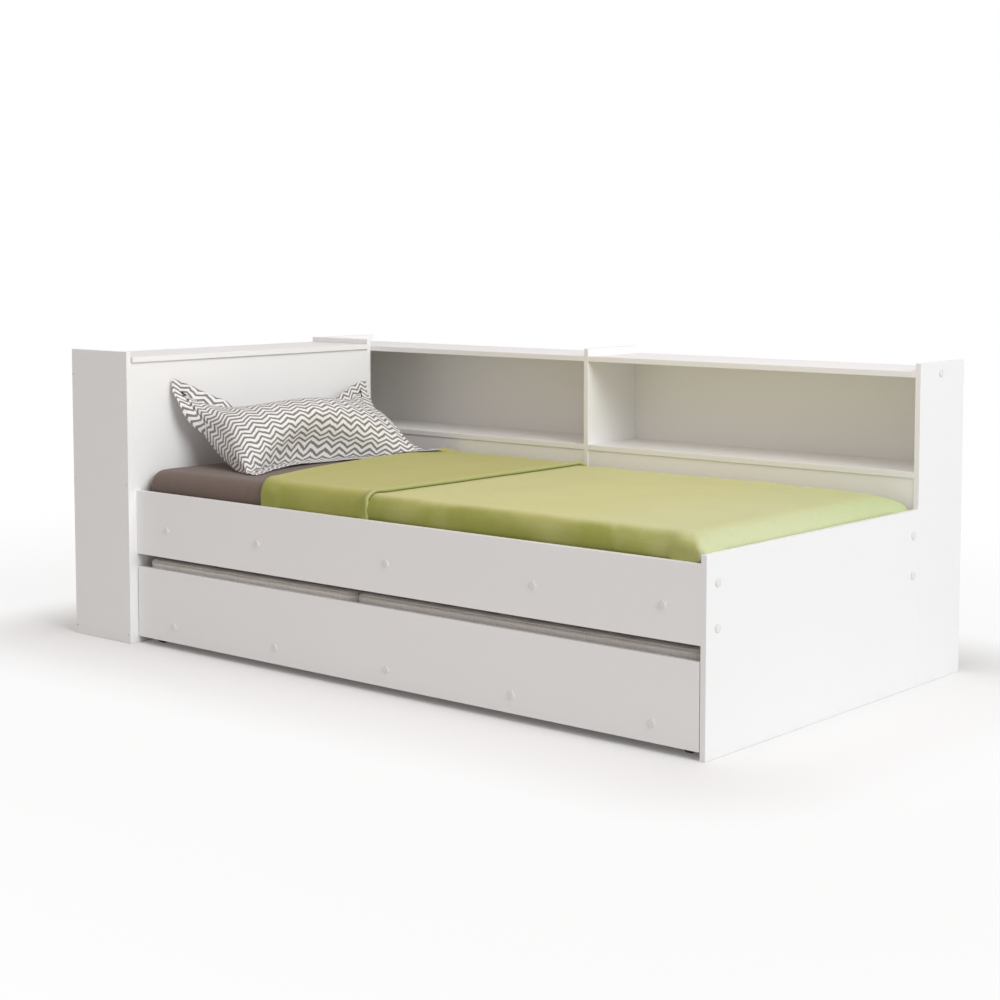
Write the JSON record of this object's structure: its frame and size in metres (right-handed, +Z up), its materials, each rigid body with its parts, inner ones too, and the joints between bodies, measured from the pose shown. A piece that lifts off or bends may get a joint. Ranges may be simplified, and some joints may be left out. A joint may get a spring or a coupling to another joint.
{
  "type": "bookcase headboard bed",
  "caption": "Single bed with a lidded storage headboard, an open bookcase along one side and a guest bed that rolls out below.",
  "frame": {"origin": "on the floor, at the middle of the overall length and depth", "axes": "+X to the foot of the bed, +Y to the bookcase side, +Z up"},
  "size_m": [2.177, 1.194, 0.82],
  "materials": {
    "white_board": "white melamine, satin",
    "white_hardboard": "white foil on hardboard",
    "pine": "planed pine",
    "zinc_steel": "zinc plated",
    "castor_plastic": "moulded nylon",
    "mattress_ticking": "woven ticking over foam",
    "trundle_ticking": "woven ticking over foam",
    "brown_sheet": "woven cotton",
    "green_throw": "soft woven blanket",
    "zigzag_pillowcase": "printed cotton, zigzag stripes"
  },
  "bodies": {
    "bed": {"bed_slats": "pine", "bookcase_divider": "white_board", "bookcase_foot_back": "white_hardboard", "bookcase_foot_end_panel": "white_board", "bookcase_foot_floor_rail": "white_board", "bookcase_foot_lower_panel": "white_board", "bookcase_foot_shelf": "white_board", "bookcase_foot_top_board": "white_board", "bookcase_head_back": "white_hardboard", "bookcase_head_end_panel": "white_board", "bookcase_head_floor_rail": "white_board", "bookcase_head_lower_panel": "white_board", "bookcase_head_shelf": "white_board", "bookcase_head_top_board": "white_board", "fitted_sheet": "brown_sheet", "foot_corner_posts": "pine", "foot_panel": "white_board", "front_side_rail": "white_board", "front_slat_ledger": "pine", "head_rail_brackets": "zinc_steel", "headboard_front_end_panel": "white_board", "headboard_inner_panel": "white_board", "headboard_outer_panel": "white_board", "headboard_rear_end_panel": "white_board", "lid_hinge_fixed_leaves": "zinc_steel", "lid_hinge_pins": "zinc_steel", "mattress": "mattress_ticking", "pillow": "zigzag_pillowcase", "rear_side_rail": "white_board", "rear_slat_ledger": "pine", "storage_box_cleats": "pine", "storage_box_floor": "white_board", "throw": "green_throw"},
    "lid": {"headboard_lid": "white_board", "lid_hinge_moving_leaves": "zinc_steel"},
    "trundle": {"trundle_back_panel": "white_board", "trundle_castor_blocks": "pine", "trundle_foot_side": "white_board", "trundle_front_ledger": "pine", "trundle_front_panel": "white_board", "trundle_head_side": "white_board", "trundle_mattress_foot_section": "trundle_ticking", "trundle_mattress_head_section": "trundle_ticking", "trundle_rear_ledger": "pine", "trundle_slats": "pine", "castor_brackets": "zinc_steel", "castor_axles": "zinc_steel"},
    "wheel_foot_front": {"castor_wheel_foot_front": "castor_plastic"},
    "wheel_foot_rear": {"castor_wheel_foot_rear": "castor_plastic"},
    "wheel_head_front": {"castor_wheel_head_front": "castor_plastic"},
    "wheel_head_rear": {"castor_wheel_head_rear": "castor_plastic"}
  },
  "joints": [
    {"name": "trundle_roll", "type": "slide", "parent": "bed", "child": "trundle", "axis": [0, -1, 0], "range_m": [0, 0.95]},
    {"name": "lid_hinge", "type": "hinge", "parent": "bed", "child": "lid", "pos_m": [-1.08605, -0.1015, 0.79], "axis": [0, -1, 0], "range_deg": [0, 95]},
    {"name": "castor_foot_front", "type": "hinge", "parent": "trundle", "child": "wheel_foot_front", "pos_m": [1.01855, -0.524, 0.017], "axis": [1, 0, 0], "continuous": true},
    {"name": "castor_foot_rear", "type": "hinge", "parent": "trundle", "child": "wheel_foot_rear", "pos_m": [1.01855, 0.281, 0.017], "axis": [1, 0, 0], "continuous": true},
    {"name": "castor_head_front", "type": "hinge", "parent": "trundle", "child": "wheel_head_front", "pos_m": [-0.78145, -0.524, 0.017], "axis": [1, 0, 0], "continuous": true},
    {"name": "castor_head_rear", "type": "hinge", "parent": "trundle", "child": "wheel_head_rear", "pos_m": [-0.78145, 0.281, 0.017], "axis": [1, 0, 0], "continuous": true}
  ],
  "couplings": [
    {"joint": "castor_foot_front", "follows": "trundle_roll", "rad_per_m": 58.824},
    {"joint": "castor_foot_rear", "follows": "trundle_roll", "rad_per_m": 58.824},
    {"joint": "castor_head_front", "follows": "trundle_roll", "rad_per_m": 58.824},
    {"joint": "castor_head_rear", "follows": "trundle_roll", "rad_per_m": 58.824}
  ]
}
